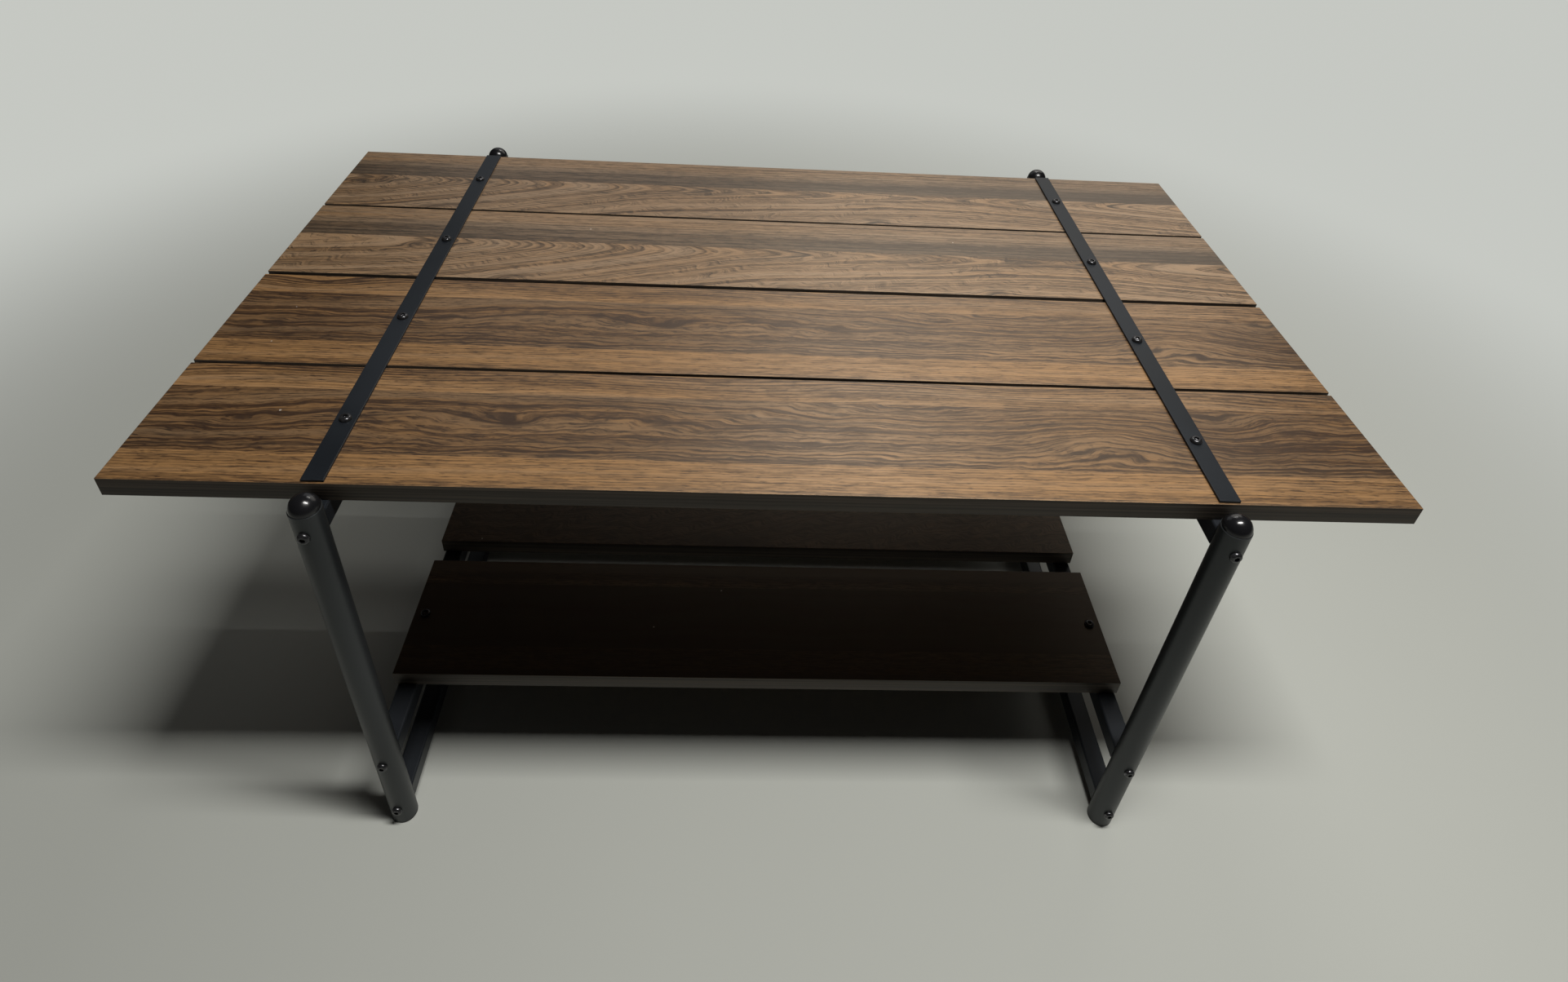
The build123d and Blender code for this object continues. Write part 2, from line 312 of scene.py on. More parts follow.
# How far the dark stave's lines rise, in millimetres, and its closed rings round knots, in line spacings.
DARK_RISES = (
    (-215, 98, 95, 24, 15.0), (-20, 96, 90, 22, 12.0), (-500, 52, 110, 20, -8.0), (-470, 104, 60, 14, -7.0),
    (160, 50, 90, 14, -5.0), (412, 72, 62, 24, 17.0), (520, 92, 44, 22, -15.0), (250, 104, 70, 12, -6.0),
)
DARK_KNOTS = ((-113, 79, 20, 7, 1.3), (153, 94, 26, 8, 1.2), (121, 78, 16, 6, -0.9), (-345, 70, 30, 8, 0.9))
DARK_TONES = (
    (-470, 107, 70, 10, 0.14), (-460, 47, 90, 10, 0.12), (-430, 78, 60, 12, -0.06), (-250, 50, 120, 8, 0.08),
    (-113, 77, 10, 5, 0.60), (-45, 86, 45, 11, -0.15), (-20, 64, 40, 6, -0.10), (-60, 108, 60, 5, 0.16),
    (85, 88, 30, 10, -0.10), (130, 86, 26, 8, 0.14), (205, 93, 30, 10, -0.12), (60, 55, 130, 5, 0.20),
    (260, 45, 150, 6, -0.20), (425, 82, 40, 11, -0.16), (500, 92, 50, 18, 0.20), (520, 55, 50, 14, 0.10),
)
STREAK_TONES = ((-500, 128, 50, 20, 0.18),)


def wavy_print(s, v):
    """Walnut sheet with a straight golden stave in front, a dark wavy stave with knots, and a streaked
    stave behind. Returns one row for each stave: the growth figure, whose whole numbers are the dark lines,
    darkness, warmth, line strength, line softness, and the place across the grain, which bends with it."""
    gold = v / GOLD_SPACING + ripples(s, v, GOLD_WAVES)
    risen = v - patches(s, v, DARK_RISES)
    dark = risen / DARK_SPACING + ripples(s, v, DARK_WAVES) + patches(s, v, DARK_KNOTS)
    streaked = v / STREAK_SPACING + ripples(s, v, STREAK_WAVES) + patches(s, v, STREAK_SWIRL)
    smoky, bands = ripple(s, v, 17, 420, 40), ripple(0.25 * s, v, 19, 500, 15)
    # Painted shade darkens the sheet towards its right end, and the tone is lightened a little right of the
    # middle.
    shaded = 0.20 * ramp_up(s, 430, 600)
    shaded_and_lightened = shaded - 0.12 * ramp_up(s, 50, 250)
    gold_tone = 0.27 + 0.03 * smoky + 0.16 * (1 - ramp_up(v, 3, 10)) + shaded_and_lightened
    dark_tone = 0.67 + 0.03 * smoky + patches(s, v, DARK_TONES) + shaded_and_lightened
    streak_tone = 0.26 + 0.06 * ramp_up(s, 50, 300) + 0.18 * ramp_up(v, 126, 142) - 0.14 * bell(v, 120, 4)
    streak_tone = streak_tone + 0.05 * smoky + 0.09 * bands + patches(s, v, STREAK_TONES) + shaded
    lively = 1 + 0.35 * ramp_up(s, 20, 200)
    return (
        (gold, gold_tone, 0.98, 0.60 * lively, 0.35, GOLD_SPACING * gold),
        (dark, dark_tone, 0.85, 0.9 * lively, 0.35, DARK_SPACING * dark),
        (40 + streaked, streak_tone, 0.85, lively, 0.35, STREAK_SPACING * streaked),
    )


ARCHED_JOINTS = (82.0,)  # between the arched and the straight stave
ARCH_AXIS, ARCH_TIP = 72, 12  # middle line of the arches, and how blunt their tips are
ARCH_WAVES, STRAIGHT_WAVES = ((0.16, 23, 170, 60), (0.06, 24, 60, 26)), ((0.4, 29, 700, 100),)
STRAIGHT_SPACING = 3.0
# Places where the ramp under the arches changes its slope, the width of each change, and the change.
ARCH_SLOPES = ((-520, 10, 0.02), (-372, 30, 0.060), (-52, 16, -0.060), (150, 60, -0.004), (322, 30, -0.055))
ARCH_KNOTS = (
    (243, 8, 30, 9, 2.6), (235, 50, 40, 8, 1.5), (-278, 4, 24, 8, 1.6), (-400, 66, 15, 6, 2.2),
    (-355, 67, 12, 6, 1.2),
)
ARCH_TONES = (
    (-400, 66, 12, 4, 0.50), (-355, 67, 14, 5, 0.45), (-455, 70, 45, 7, -0.16), (-105, 73, 62, 8, -0.16),
    (-172, 74, 26, 7, -0.10), (-80, 54, 42, 6, 0.13), (-275, 7, 34, 8, 0.34), (20, 66, 48, 14, 0.06),
    (-20, 30, 60, 8, -0.12), (110, 44, 60, 8, -0.06), (200, 71, 70, 8, -0.13), (232, 51, 26, 4.5, 0.50),
    (272, 60, 22, 4, 0.22), (243, 9, 16, 6, 0.50), (410, 69, 34, 9, -0.14), (475, 70, 30, 8, 0.12),
    (500, 30, 60, 14, 0.06),
)


def arched_print(s, v):
    """Walnut sheet with nested arches in front and straight grain behind. The arches are the level lines of
    a ramp along the board, whose slope changes at a few places, plus a bow across it, which is blunt at
    the arches' axis. Returns rows as wavy_print does."""
    ramp = 0.008 * s + sum(change * slope(s, at, width) for at, width, change in ARCH_SLOPES)
    bow = 0.30 * (np.hypot(v - ARCH_AXIS, ARCH_TIP) - ARCH_TIP)
    arches = ramp + bow + ripples(s, v, ARCH_WAVES) + patches(s, v, ARCH_KNOTS)
    straight = v / STRAIGHT_SPACING + ripples(s, v, STRAIGHT_WAVES)
    smoky, bands = ripple(s, v, 31, 420, 40), ripple(0.2 * s, v, 37, 500, 14)
    lined = 0.06 * (1 - ramp_up(s, -420, -330)) * ripple(0.3 * s, v, 41, 300, 12)
    arch_tone = 0.16 - 0.17 * ramp_up(s, 50, 350) + 0.03 * smoky + lined + patches(s, v, ARCH_TONES)
    back_tone = 0.84 - 0.54 * ramp_up(v, 100, 130) + 0.12 * ramp_up(s, 250, 500) - 0.14 * bell(s, -200, 150)
    back_tone = back_tone + 0.03 * smoky + 0.05 * bands
    lively, back_warmth = 1 + 0.5 * ramp_up(s, -20, 250), 0.05 + 0.25 * ramp_up(v, 95, 130)
    return (
        (arches, arch_tone, 0.3, 1.2 * lively, 0.5, v + 4 * ripple(s, v, 24, 60, 26)),
        (60 + straight, back_tone, back_warmth, 0.8 * lively, 0.2, STRAIGHT_SPACING * straight),
    )


PRINTS = {"wavy": (wavy_print, WAVY_JOINTS), "arched": (arched_print, ARCHED_JOINTS)}
# Sheet, its shift along the board in millimetres, and how much darker it is: a darker print on the rear top
# plank, and painted shade on the shelf boards, which stand in the top's shadow.
BOARD_PRINTS = {
    "top_plank_1": ("wavy", -118.0, 0.0),
    "top_plank_2": ("wavy", 0.0, 0.0),
    "top_plank_3": ("arched", 0.0, 0.0),
    "top_plank_4": ("arched", -117.0, 0.08),
    # The shelf boards' 0.80 is painted shade, as if they were in the shadow of the top.
    "shelf_plank_front": ("wavy", 196.0, 0.80),
    "shelf_plank_middle": ("arched", 240.0, 0.80),
    "shelf_plank_rear": ("wavy", -260.0, 0.80),
}
BOARD_CELL = (5 * MM, 2.5 * MM)  # spacing of the points that carry the figure, along and across


def board(node, settings, finishes):
    """Board with eased edges, carrying its wood figure. Each point takes the values of its own stave."""
    low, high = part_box(node)
    sheet, shift, darker_print_and_painted_shade = BOARD_PRINTS[node]
    rows_of, joints = PRINTS[sheet]
    seams = [low[1] + joint * MM for joint in joints]
    points, quads, arris = eased_block(low, high, settings.edge_radius, *BOARD_CELL, seams)
    s, v = points[:, 0] / MM - shift, (points[:, 1] - low[1]) / MM
    own = np.searchsorted(joints, v, side="right")
    values = [np.choose(own, staves) for staves in zip(*rows_of(s, v))]
    figure, darkness, warmth, strength, softness, across = values
    # The darkening also dulls the warmth and the lines, which on the shelf boards is painted shade.
    stave = np.stack([darkness + darker_print_and_painted_shade, warmth * (1 - darker_print_and_painted_shade), strength * (1 - darker_print_and_painted_shade), softness], 1)
    fields = {"figure": figure, "across": across * MM, "stave": stave, "arris": arris}
    publish("board", node, finishes, [(points, quads)], fields)


def boards(nodes, settings, face, shine):
    """Boards with a printed face of that name above and below, and an edge band all round."""
    for node in nodes:
        finishes = [material(face, walnut, settings, shine), material("edge_band", edge_band, settings)]
        board(node, settings, finishes)


# --- shader nodes


def plug(node, values):
    """Links or sets a node's inputs, named by label or number."""
    for key, value in values.items():
        if isinstance(value, NodeSocket):
            node.id_data.links.new(value, node.inputs[key])
        else:
            node.inputs[key].default_value = value


def add(kind, values, tree=None, **settings):
    """Outputs of a new node, which joins the tree given or that of a socket among its inputs."""
    trees = [value.id_data for value in values.values() if isinstance(value, NodeSocket)]
    node = (tree or trees[0]).nodes.new("ShaderNode" + kind)
    for key, value in settings.items():
        setattr(node, key, value)
    plug(node, values)
    return node.outputs


def calc(operation, a, b=0.0, c=0.0, clamp=False):
    """One step of arithmetic."""
    return add("Math", {0: a, 1: b, 2: c}, operation=operation, use_clamp=clamp)[0]


def times(a, b, clamp=False):
    """Product of two values."""
    return calc("MULTIPLY", a, b, clamp=clamp)


def swing(base, value, reach, clamp=False):
    """Base plus a reach times how far a value is above one half."""
    return calc("MULTIPLY_ADD", calc("SUBTRACT", value, 0.5), reach, base, clamp)


def between(value, low, high, to_low=0.0, to_high=1.0):
    """Smooth step of a value from one range to another."""
    values = {"Value": value, "From Min": low, "From Max": high, "To Min": to_low, "To Max": to_high}
    return add("MapRange", values, interpolation_type="SMOOTHSTEP")[0]


def blend(factor, first, second):
    """Mix of two colours."""
    return add("Mix", {0: factor, 6: first, 7: second}, data_type="RGBA")[2]


def here(tree):
    """Position in the object's own coordinates, in metres."""
    return add("TexCoord", {}, tree)["Object"]


def field(tree, name):
    """A value stored on the mesh, as a number, a colour and an alpha."""
    return add("Attribute", {}, tree, attribute_name=name)


def camera_ray(tree):
    """One where the camera sees the surface itself, and zero for the light that it gives to others."""
    return add("LightPath", {}, tree)["Is Camera Ray"]


def parts(vector):
    """The three numbers of a vector."""
    return add("SeparateXYZ", {"Vector": vector})


def joined(x, y, z):
    """Vector of three numbers."""
    return add("CombineXYZ", {"X": x, "Y": y, "Z": z})[0]


def channels(colour):
    """The three numbers of a colour."""
    return add("SeparateColor", {"Color": colour})


def stretched(position, scale, rotation=(0, 0, 0)):
    """Position turned and given its own scale along each axis."""
    return add("Mapping", {"Vector": position, "Rotation": rotation, "Scale": scale})[0]


def noise(position, scale=1.0, detail=2.0, roughness=0.5):
    """Soft noise between 0 and 1, with a scale in waves to the metre."""
    values = {"Vector": position, "Scale": scale, "Detail": detail, "Roughness": roughness}
    return add("TexNoise", values)[0]


def cells(position, scale):
    """Distance to the nearest of many scattered points, and that point's three random numbers."""
    made = add("TexVoronoi", {"Vector": position, "Scale": scale})
    return made["Distance"], channels(made["Color"])


def bump(height, strength, distance):
    """Normal from a height."""
    return add("Bump", {"Strength": strength, "Distance": distance, "Height": height})[0]


def use(build, **values):
    """Outputs of a node group with those inputs, which is made once, from a function that turns its inputs
    into named outputs, and has that function's name."""
    tree = bpy.data.node_groups.get(build.__name__)
    if not tree:
        tree = bpy.data.node_groups.new(build.__name__, "ShaderNodeTree")
        for label in values:
            kind = "NodeSocketVector" if label == "Position" else "NodeSocketFloat"
            tree.interface.new_socket(label, in_out="INPUT", socket_type=kind)
        made = build(tree.nodes.new("NodeGroupInput").outputs)
        for label in made:
            tree.interface.new_socket(label, in_out="OUTPUT", socket_type="NodeSocketFloat")
        plug(tree.nodes.new("NodeGroupOutput"), made)
    return add("Group", values, node_tree=tree)


def material(name, build, *details):
    """Material, made once, whose build function turns its tree and the details into the inputs of its one
    principled shader."""
    if name in bpy.data.materials:
        return bpy.data.materials[name]
    made = bpy.data.materials.new(name)
    made.use_nodes = True
    plug(made.node_tree.nodes["Principled BSDF"], build(made.node_tree, *details))
    return made


# --- patterns

LINE_DRIFT = 0.32  # how far a growth line wanders, in line spacings
LINE_START, LINE_PEAK, SWELL_PEAK = 0.40, 0.88, 0.80  # shares of the way from one line to the next
LIGHTEST, DARKEST = -0.30, 1.35  # depths of tone at which the wood is lightest and darkest
SPECKS, SPECK_RADIUS = 42.0, 0.045  # cells to the metre, and the widest speck as a share of a cell
SCRATCH_TURN = 1.25  # radians between the scratches and the board's length


def growth_lines(given):
    """Dark lines where the figure nears a whole number, stronger and weaker from line to line and along
    each line, streaks that follow the same figure, and broad zones of lighter and darker growth."""
    position = given["Position"]
    drift = noise(stretched(position, (9, 45, 45)), detail=4)
    moved = calc("MULTIPLY_ADD", drift, LINE_DRIFT, given["Figure"])
    part, number = calc("FRACT", moved), calc("FLOOR", moved)
    own = add("TexWhiteNoise", {"W": number}, noise_dimensions="1D")[0]
    along = noise(stretched(position, (6, 18, 18)))
    steady, shaded_and_lightened = between(own, 0.0, 0.95, 0.25, 1.0), between(along, 0.34, 0.56, 0.15, 1.0)
    rise, fall = between(part, LINE_START, LINE_PEAK), between(part, LINE_PEAK, 1.0, 1.0, 0.0)
    line = times(times(times(rise, rise), fall), times(steady, shaded_and_lightened), clamp=True)
    wide = times(between(part, 0.0, SWELL_PEAK), between(part, SWELL_PEAK, 1.0, 1.0, 0.0))
    place, rank = parts(position), times(moved, 1.3)
    broken = {"W": moved, "Scale": 0.8, "Detail": 5, "Roughness": 0.66}
    return {
        "Line": line,
        "Swell": times(wide, between(own, 0.0, 1.0, 0.5, 1.0)),
        "Streak": noise(joined(times(place[0], 3.5), rank, place[2]), detail=4, roughness=0.62),
        "Zone": add("TexNoise", broken, noise_dimensions="1D")[0],
        "Broad": noise(joined(times(place[0], 6.0), rank, place[2]), 0.28),
    }


def fibres(given):
    """Fine fibres along the grain and short dark pores. Across is the place across the grain."""
    place = parts(given["Position"])

    def strands(length, width, detail):
        run, rank = calc("DIVIDE", place[0], length), calc("DIVIDE", given["Across"], width)
        return noise(joined(run, rank, place[2]), detail=detail, roughness=0.6)

    dashes = strands(9 * MM, 1.0 * MM, 1)
    return {"Fibre": strands(22 * MM, 1.8 * MM, 3), "Pore": between(dashes, 0.57, 0.66)}


def dust(given):
    """Scattered pale specks and a few short hairline scratches."""
    near, own = cells(given["Position"], SPECKS)
    speck = calc("LESS_THAN", near, between(own[0], 0.80, 1.0, 0.0, SPECK_RADIUS))
    near, own = cells(stretched(given["Position"], (2.4, 60, 2.4), (0, 0, SCRATCH_TURN)), 4.0)
    scratch = calc("LESS_THAN", near, between(own[1], 0.90, 1.0, 0.0, 0.03))
    return {"Mask": times(calc("MAXIMUM", speck, times(scratch, 0.5)), given["Amount"])}


def coat(given):
    """Fine pebbled paint: small soft bumps, and slow changes of tone and gloss."""
    pebble = noise(given["Position"], given["Grain"], roughness=0.6)
    slow = noise(stretched(given["Position"], (6, 6, 6)), detail=3)
    return {"Height": pebble, "Tone": between(slow, 0.3, 0.7), "Pebble": between(pebble, 0.35, 0.7)}


def dusty(position, colour, amount, speck):
    """Colour with dust on it."""
    return blend(use(dust, Position=position, Amount=amount)["Mask"], colour, speck)


# --- materials

# Amount and colour of dust.
WOOD_DUST, PAINT_DUST = (0.55, (0.55, 0.50, 0.44, 1)), (0.12, (0.30, 0.29, 0.27, 1))
CAP_DUST = (0.15, (0.2, 0.2, 0.2, 1))
# Colours of paint rubbed thin on corners, with a painted highlight there, and of rubbed spots on oxide.
CORNER_WEAR_AND_HIGHLIGHT, WORN_OXIDE = (0.10, 0.105, 0.115, 1), (0.18, 0.18, 0.19, 1)
FOOT_FLECK, ZINC_SHADE = (0.035, 0.035, 0.034, 1), (0.42, 0.43, 0.46, 1)


def walnut(tree, settings, shine):
    """Satin printed walnut: stave tone, growth lines, fibres and pores from light gold to dark brown."""
    position, told = here(tree), field(tree, "stave")
    darkness, warmth, strength = channels(told["Color"])
    softness, across = told["Alpha"], field(tree, "across")["Fac"]
    lines = use(growth_lines, Figure=field(tree, "figure")["Fac"], Position=position)
    grain = use(fibres, Position=position, Across=across)
    hard = times(lines["Line"], calc("SUBTRACT", 1.0, softness))
    shape = calc("MULTIPLY_ADD", lines["Swell"], softness, hard)
    line = times(times(shape, strength), settings.line_contrast)
    figured = swing(0.0, lines["Streak"], settings.streak_contrast)
    figured = swing(figured, lines["Broad"], settings.broad_contrast)
    figured = swing(figured, lines["Zone"], settings.zone_contrast)
    depth = calc("MULTIPLY_ADD", figured, strength, calc("ADD", darkness, line))
    depth = swing(depth, grain["Fibre"], settings.fibre_contrast)
    lightest = calc("SUBTRACT", times(darkness, 1.3), settings.lightest_drop)
    depth = calc("SMOOTH_MAX", depth, lightest, 0.2)
    depth = calc("MULTIPLY_ADD", grain["Pore"], settings.pore_contrast, depth)
    warmth = swing(warmth, lines["Broad"], 1.8, clamp=True)
    gold = blend(warmth, settings.cool_light, settings.warm_light)
    umber = blend(warmth, settings.cool_dark, settings.warm_dark)
    wood = blend(between(depth, LIGHTEST, DARKEST), gold, umber)
    rough = settings.gloss_roughness
    return {
        "Base Color": dusty(position, wood, *WOOD_DUST),
        "Roughness": between(grain["Fibre"], 0.2, 0.8, rough - 0.05, rough + 0.06),
        "Normal": bump(calc("MULTIPLY_ADD", grain["Pore"], -0.6, grain["Fibre"]), 0.12, 0.3 * MM),
        "Specular IOR Level": shine,
        "Specular Tint": (1.0, 0.85, 0.68, 1),
    }


def edge_band(tree, settings):
    """Dark band glued round the boards: fine lines along the edge, and a pale line on its corners, partly
    rubbed wear and partly a painted highlight.
    """
    position = here(tree)
    streak = noise(stretched(position, (2.5, 2.5, 420)), detail=4, roughness=0.7)
    patch = noise(stretched(position, (9, 9, 30)), detail=3)
    rub = noise(stretched(position, (60, 60, 60)), detail=3)
    depth = calc("MULTIPLY_ADD", between(streak, 0.40, 0.62), 0.8, times(patch, 0.2))
    band = blend(depth, settings.band_dark, settings.band_light)
    # Pale corners: rubbed wear, and a painted highlight where the eased edge catches the light.
    worn_and_highlit = times(field(tree, "arris")["Fac"], between(rub, 0.35, 0.6, 0.45, 1.0))
    return {
        "Base Color": blend(worn_and_highlit, band, settings.band_corner_wear_and_highlight),
        "Roughness": between(streak, 0.3, 0.7, 0.44, 0.56),
        "Normal": bump(streak, 0.1, 0.3 * MM),
        "Specular IOR Level": 0.4,
        "Specular Tint": (1.0, 0.90, 0.80, 1),
    }


def painted(tree, colour, grain, relief, roughness, shine):
    """Painted steel: slow changes of tone, pebbled bumps, and paint rubbed thin on the corners, which also
    carries a painted highlight there.
    """
    position = here(tree)
    skin = use(coat, Position=position, Grain=grain)
    lighter = [min(1.0, c * 1.7 + 0.004) for c in colour[:3]] + [1]
    tone = blend(skin["Tone"], colour, lighter)
    flecked = blend(times(skin["Pebble"], 0.35), tone, lighter)
    # Lighter corners: paint rubbed thin, and a painted highlight along the edges.
    worn_and_highlit = blend(times(field(tree, "arris")["Fac"], 0.15), flecked, CORNER_WEAR_AND_HIGHLIGHT)
    return {
        "Base Color": dusty(position, worn_and_highlit, *PAINT_DUST),
        "Roughness": between(skin["Tone"], 0.0, 1.0, roughness - 0.04, roughness + 0.05),
        "Normal": bump(skin["Height"], relief, 0.2 * MM),
        "Specular IOR Level": shine,
        "Specular Tint": (0.93, 0.98, 1.0, 1),
    }


def gloss_plastic(tree, settings):
    """Polished black plastic with faint smears and dust."""
    position = here(tree)
    smear = noise(position, 60.0, detail=3, roughness=0.6)
    return {
        "Base Color": dusty(position, settings.cap_colour, *CAP_DUST),
        "Roughness": between(smear, 0.3, 0.7, 0.17, 0.28),
        "Normal": bump(smear, 0.03, 0.5 * MM),
    }


def matt_plastic(tree, settings):
    """Matt black plastic with a fine moulded grain."""
    grain = noise(here(tree), 2600.0)
    return {
        "Base Color": blend(grain, settings.foot_colour, FOOT_FLECK),
        "Roughness": between(grain, 0.3, 0.7, 0.52, 0.66),
        "Normal": bump(grain, 0.15, 0.2 * MM),
    }


def black_oxide(tree, settings):
    """Black oxide steel: dark, half metallic, with brighter rubbed spots."""
    rub = noise(here(tree), 260.0, detail=3, roughness=0.6)
    return {
        "Base Color": blend(between(rub, 0.52, 0.75), settings.bolt_colour, WORN_OXIDE),
        "Metallic": between(rub, 0.3, 0.7, 0.55, 0.95),
        "Roughness": between(rub, 0.3, 0.7, 0.17, 0.30),
        "Normal": bump(rub, 0.08, 0.2 * MM),
    }


def zinc(tree, settings):
    """Zinc plated steel with a fine spangle."""
    spangle = cells(here(tree), 700.0)[1][0]
    return {
        "Base Color": blend(spangle, ZINC_SHADE, settings.zinc_colour),
        "Metallic": 0.9,
        "Roughness": between(spangle, 0.0, 1.0, 0.3, 0.45),
        "Normal": bump(spangle, 0.05, 0.2 * MM),
    }


def floor_paint(tree, settings):
    """Matt floor with faint clouds of tone, which turns into the plain backdrop far from the table."""
    position = here(tree)
    darker = [0.93 * c for c in settings.floor_colour[:3]] + [1]
    tone = blend(noise(position, 1.3, detail=4), settings.floor_colour, darker)
    away = add("VectorMath", {0: position}, operation="LENGTH")["Value"]
    glow = times(between(away, settings.fade_start, settings.fade_end), camera_ray(tree))
    return {
        "Base Color": blend(glow, tone, (0, 0, 0, 1)),
        "Roughness": 0.75,
        "Emission Color": settings.backdrop_colour,
        "Emission Strength": glow,
    }


# --- settings


def colour_value(label, words, value):
    """Colour setting."""
    return bpy.props.FloatVectorProperty(
        name=label, description=words, default=(*value, 1.0), size=4, subtype="COLOR", min=0.0, max=1.0
    )


def length_value(label, words, value, most=0.1):
    """Length setting, in metres."""
    return bpy.props.FloatProperty(
        name=label, description=words, default=value, min=0.0, max=most, unit="LENGTH", precision=4
    )


def share_value(label, words, value, most=1.0):
    """Setting without a unit."""
    return bpy.props.FloatProperty(
        name=label, description=words, default=value, min=0.0, max=most, subtype="FACTOR"
    )


class BoardSettings(PropertyGroup):
    """Sizes and colours of the boards."""

    edge_radius: length_value("Edge radius", "Radius of every board edge", 0.35 * MM)
    warm_light: colour_value("Warm light", "Lightest wood in a golden stave", (0.315, 0.170, 0.066))
    cool_light: colour_value("Cool light", "Lightest wood in a grey stave", (0.275, 0.181, 0.106))
    warm_dark: colour_value("Warm dark", "Darkest wood in a golden stave", (0.028, 0.013, 0.007))
    cool_dark: colour_value("Cool dark", "Darkest wood in a grey stave", (0.034, 0.024, 0.016))
    line_contrast: share_value("Line contrast", "How far the growth lines darken the wood", 0.72, 2.0)
    streak_contrast: share_value("Streak contrast", "How far the streaks change the wood's tone", 1.0, 5.0)
    zone_contrast: share_value("Zone contrast", "How far one growth line differs from the next", 1.5, 5.0)
    broad_contrast: share_value("Broad contrast", "How far wide areas of the wood differ in tone", 1.35, 5.0)
    fibre_contrast: share_value("Fibre contrast", "How far the fine fibres change the wood's tone", 2.0, 5.0)
    pore_contrast: share_value("Pore contrast", "How far the short pores darken the wood", 0.38, 2.0)
    lightest_drop: share_value("Lightest streak", "How much lighter than its stave a streak is", 0.36, 2.0)
    gloss_roughness: share_value("Face roughness", "Roughness of the printed faces", 0.40)
    band_dark: colour_value("Band dark", "Dark lines of the edge band", (0.006, 0.0048, 0.0038))
    band_light: colour_value("Band light", "Light lines of the edge band", (0.062, 0.048, 0.037))
    # The band's corner colour is partly rubbed wear and partly a painted highlight.
    band_corner_wear_and_highlight: colour_value("Band corner", "Rubbed corner of the edge band", (0.17, 0.12, 0.075))


class FrameSettings(PropertyGroup):
    """Sizes and colours of the side frames and straps."""

    rail_wall: length_value("Rail wall", "Wall of the square tubes", 1.5 * MM)
    rail_corner: length_value("Rail corner", "Outer corner radius of the square tubes", 2.0 * MM)
    saddle_gap: length_value("Saddle gap", "Gap between a rail's end and the leg", 0.3 * MM)
    leg_wall: length_value("Leg wall", "Wall of the round tubes", 1.5 * MM)
    strap_ease: length_value("Strap edge radius", "Radius of the strap's edges", 0.4 * MM)
    leg_colour: colour_value("Leg", "Powder coat of the legs", (0.014, 0.0155, 0.0165))
    rail_colour: colour_value("Rail", "Paint of the rails", (0.009, 0.0105, 0.013))
    strap_colour: colour_value("Strap", "Paint of the straps", (0.007, 0.0085, 0.0108))


class SmallPartSettings(PropertyGroup):
    """Sizes and colours of caps, feet and bolts."""

    cap_rim: length_value("Cap rim", "Upright edge below the cap's dome", 1.0 * MM)
    cap_reveal: length_value("Cap reveal", "Ring of tube end left showing around the cap", 0.6 * MM)
    cap_colour: colour_value("Cap", "Gloss plastic of the caps", (0.008, 0.008, 0.009))
    foot_colour: colour_value("Foot", "Plastic of the feet", (0.015, 0.015, 0.015))
    shank_width: length_value("Bolt diameter", "Diameter of the bolt's shank", 6.0 * MM)
    head_width: length_value("Head diameter", "Diameter of the bolt's head", 10.5 * MM)
    head_height: length_value("Head height", "Height of the bolt's head", 3.3 * MM)
    head_flat: length_value("Head flat", "Diameter of the flat on top of the head", 5.4 * MM)
    socket_width: length_value("Socket width", "Width of the hexagon socket across its flats", 4.0 * MM)
    socket_depth: length_value("Socket depth", "Depth of the hexagon socket", 2.2 * MM)
    bolt_colour: colour_value("Bolt", "Black oxide of the bolts", (0.05, 0.05, 0.053))
    zinc_colour: colour_value("Zinc", "Plating of the hidden fixings", (0.60, 0.61, 0.63))


class StageSettings(PropertyGroup):
    """Floor and room."""

    floor_colour: colour_value("Floor", "Colour of the floor", (0.505, 0.52, 0.48))
    room_light: share_value("Room light", "Strength of the even light from all round", 0.014, 2.0)
    floor_reach: length_value("Floor reach", "Half the width of the floor", 9.0, 50.0)
    backdrop_colour: colour_value("Backdrop", "Even colour of the floor far off", (0.56, 0.575, 0.54))
    fade_start: length_value("Fade start", "Distance at which the backdrop starts", 0.85, 50.0)
    fade_end: length_value("Fade end", "Distance at which only the backdrop is left", 1.9, 50.0)


# --- pieces

# The shelf's lower shine is painted shade too: it dulls the shelf's reflections as if it were under the top.
TOP_SHINE, SHELF_SHINE = 0.9, 0.4  # of the printed faces
# Paints: pebbles to the metre, their relief, roughness and shine.
STRAP_PAINT = (1500.0, 0.10, 0.42, 0.2)
RAIL_PAINT = (1300.0, 0.12, 0.38, 0.3)
LEG_PAINT = (1900.0, 0.30, 0.38, 0.38)
STRAP_CELL = (4 * MM, 8 * MM)  # spacing of a strap's points, along X and Y
LEG_EASE = 0.25 * MM  # bevel at the ends of a leg
DOME_STEPS = 22  # facets from the top of a cap's dome to its rim
CAP_BEVEL = (0.15 * MM, 0.4 * MM)  # in and up, under a cap's rim
CAP_LEDGE = 1.1 * MM  # how far a cap's rim stands out beyond its stem
FOOT_EASE, FOOT_STEPS = 0.8 * MM, 5  # radius of a foot's lower edge, and its facets
PLUG_GAP = 0.2 * MM  # between a foot's stem and its leg's wall
SOCKET_SEED = 8  # for the turn of each bolt's socket

